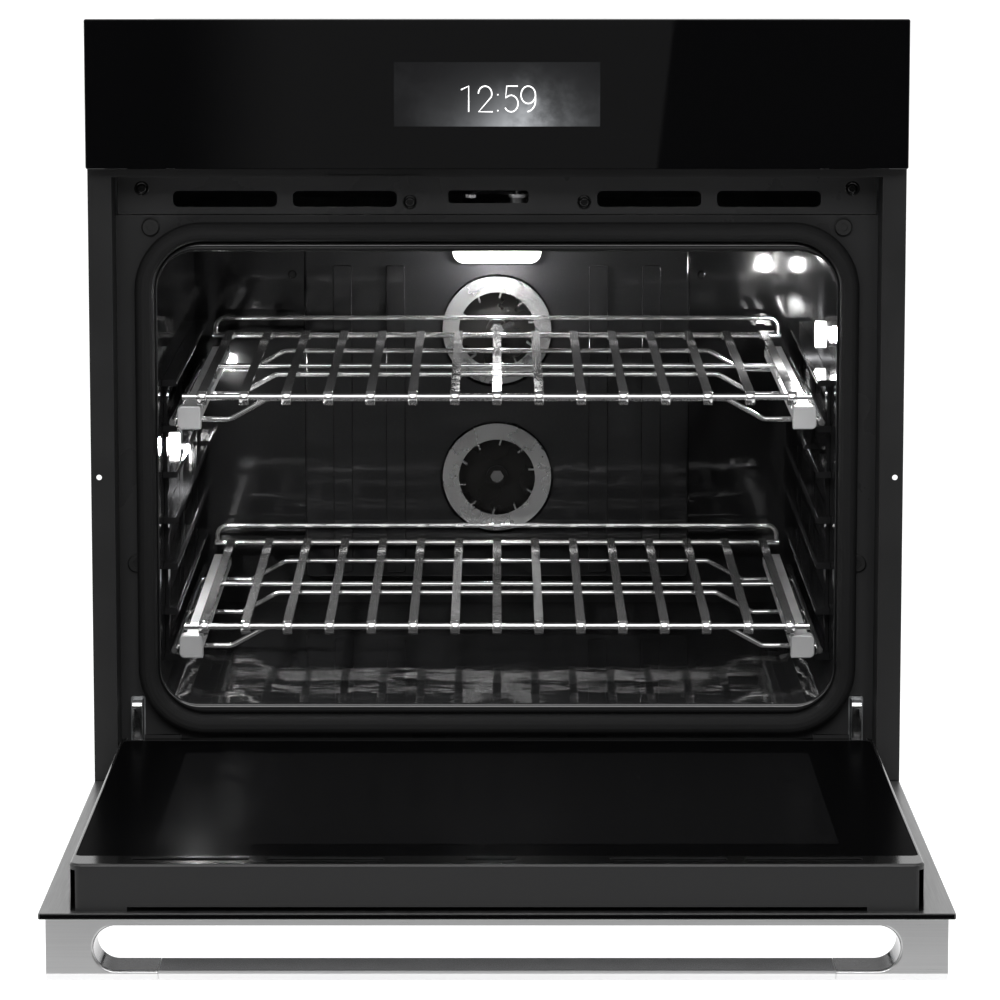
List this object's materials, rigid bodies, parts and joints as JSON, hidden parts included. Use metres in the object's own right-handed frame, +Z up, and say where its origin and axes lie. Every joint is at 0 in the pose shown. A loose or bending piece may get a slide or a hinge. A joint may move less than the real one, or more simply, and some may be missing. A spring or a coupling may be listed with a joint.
{
  "type": "wall oven",
  "caption": "Built-in single wall oven: black glass front, drop-down door with a full-width steel handle, convection cavity and roll-out racks.",
  "frame": {"origin": "middle of the width, on the cabinet face plane, at the underside that rests on the cabinet shelf", "axes": "+X to the right seen from the front, +Y to the back, +Z up"},
  "size_m": [0.756, 1.1644, 0.7809],
  "materials": {
    "galvanised": "zinc-coated sheet, dull",
    "black_trim": "black powder coat, satin",
    "frame_enamel": "black enamel, satin gloss",
    "oven_enamel": "glossy black porcelain enamel",
    "dark_rubber": "moulded, matt",
    "dark_screw": "black oxide",
    "braided_gasket": "braided glass-fibre and wire rope",
    "heater": "sheathed heating rod, heat-darkened",
    "lamp_glass": "clear heat-proof glass, lit",
    "motor_steel": "grey",
    "rail_steel": "satin",
    "chrome_rod": "bright plated",
    "fan_steel": "brushed",
    "black_glass": "opaque black ceramic-backed glass, polished",
    "window_glass": "dark tinted heat-reflecting glass",
    "display_body": "moulded",
    "door_steel": "grey satin sheet",
    "hinge_steel": "bright zinc",
    "stainless": "satin stainless with bevelled polished edges"
  },
  "bodies": {
    "chassis": {"chassis_base": "galvanised", "chassis_side_left": "galvanised", "chassis_side_right": "galvanised", "chassis_back": "galvanised", "chassis_top": "galvanised", "conduit_gland": "galvanised", "side_trim_left": "black_trim", "side_trim_right": "black_trim", "bottom_trim": "black_trim", "upper_cross_trim": "black_trim", "front_frame": "frame_enamel", "frame_bumpers": "dark_rubber", "vent_trim": "frame_enamel", "trim_screws": "dark_screw", "door_gasket": "braided_gasket", "cavity_liner": "oven_enamel", "cavity_back": "oven_enamel", "rack_guide_left": "oven_enamel", "rack_guide_right": "oven_enamel", "convection_baffle": "oven_enamel", "baffle_screws": "dark_screw", "broil_element": "heater", "lamp_lenses": "lamp_glass", "lamp_housings": "galvanised", "lower_fan_motor": "motor_steel", "lower_fan_element": "heater", "upper_fan_motor": "motor_steel", "upper_fan_element": "heater", "lower_rail_outer": "rail_steel", "upper_rail_outer": "rail_steel", "lower_rack_frame": "chrome_rod", "upper_rack_frame": "chrome_rod", "latch_motor": "motor_steel", "blower_housing": "galvanised", "blower_motor": "motor_steel", "control_panel_glass": "black_glass", "control_panel_tray": "black_trim", "display_module": "display_body", "hinge_arm_left": "hinge_steel", "hinge_arm_right": "hinge_steel", "hinge_receivers": "galvanised"},
    "door": {"door_outer_glass": "black_glass", "door_skin": "door_steel", "door_liner": "frame_enamel", "door_inner_glass": "window_glass", "hinge_channels": "hinge_steel", "handle_base_strip": "stainless", "handle_end_left": "stainless", "handle_end_right": "stainless", "handle_grip": "stainless"},
    "upper_rack": {"upper_shelf": "chrome_rod", "upper_rail_inner": "rail_steel"},
    "lower_rack": {"lower_shelf": "chrome_rod", "lower_rail_inner": "rail_steel"},
    "upper_rail": {"upper_rail_middle": "rail_steel"},
    "lower_rail": {"lower_rail_middle": "rail_steel"},
    "upper_fan": {"upper_fan_wheel": "fan_steel"},
    "lower_fan": {"lower_fan_wheel": "fan_steel"},
    "cooling_fan": {"blower_wheel": "fan_steel"},
    "latch": {"latch_hook": "rail_steel"}
  },
  "joints": [
    {"name": "door_hinge", "type": "hinge", "parent": "chassis", "child": "door", "pos_m": [0, 0.01, 0.0415], "axis": [-1, 0, 0], "range_deg": [0, 89]},
    {"name": "upper_rack_slide", "type": "slide", "parent": "chassis", "child": "upper_rack", "axis": [0, 1, 0], "range_m": [-0.35, 0]},
    {"name": "upper_rail_slide", "type": "slide", "parent": "chassis", "child": "upper_rail", "axis": [0, 1, 0], "range_m": [-0.175, 0]},
    {"name": "lower_rack_slide", "type": "slide", "parent": "chassis", "child": "lower_rack", "axis": [0, 1, 0], "range_m": [-0.35, 0]},
    {"name": "lower_rail_slide", "type": "slide", "parent": "chassis", "child": "lower_rail", "axis": [0, 1, 0], "range_m": [-0.175, 0]},
    {"name": "latch_swing", "type": "hinge", "parent": "chassis", "child": "latch", "pos_m": [0.02, 0.06, 0.563], "axis": [0, 0, 1], "range_deg": [0, 60]},
    {"name": "upper_fan_spin", "type": "hinge", "parent": "chassis", "child": "upper_fan", "pos_m": [0, 0.555, 0.375], "axis": [0, 1, 0], "continuous": true},
    {"name": "lower_fan_spin", "type": "hinge", "parent": "chassis", "child": "lower_fan", "pos_m": [0, 0.555, 0.219], "axis": [0, 1, 0], "continuous": true},
    {"name": "cooling_fan_spin", "type": "hinge", "parent": "chassis", "child": "cooling_fan", "pos_m": [0, 0.33, 0.589], "axis": [0, 0, 1], "continuous": true}
  ],
  "couplings": [
    {"joint": "upper_rail_slide", "follows": "upper_rack_slide", "ratio": 0.5},
    {"joint": "lower_rail_slide", "follows": "lower_rack_slide", "ratio": 0.5}
  ]
}
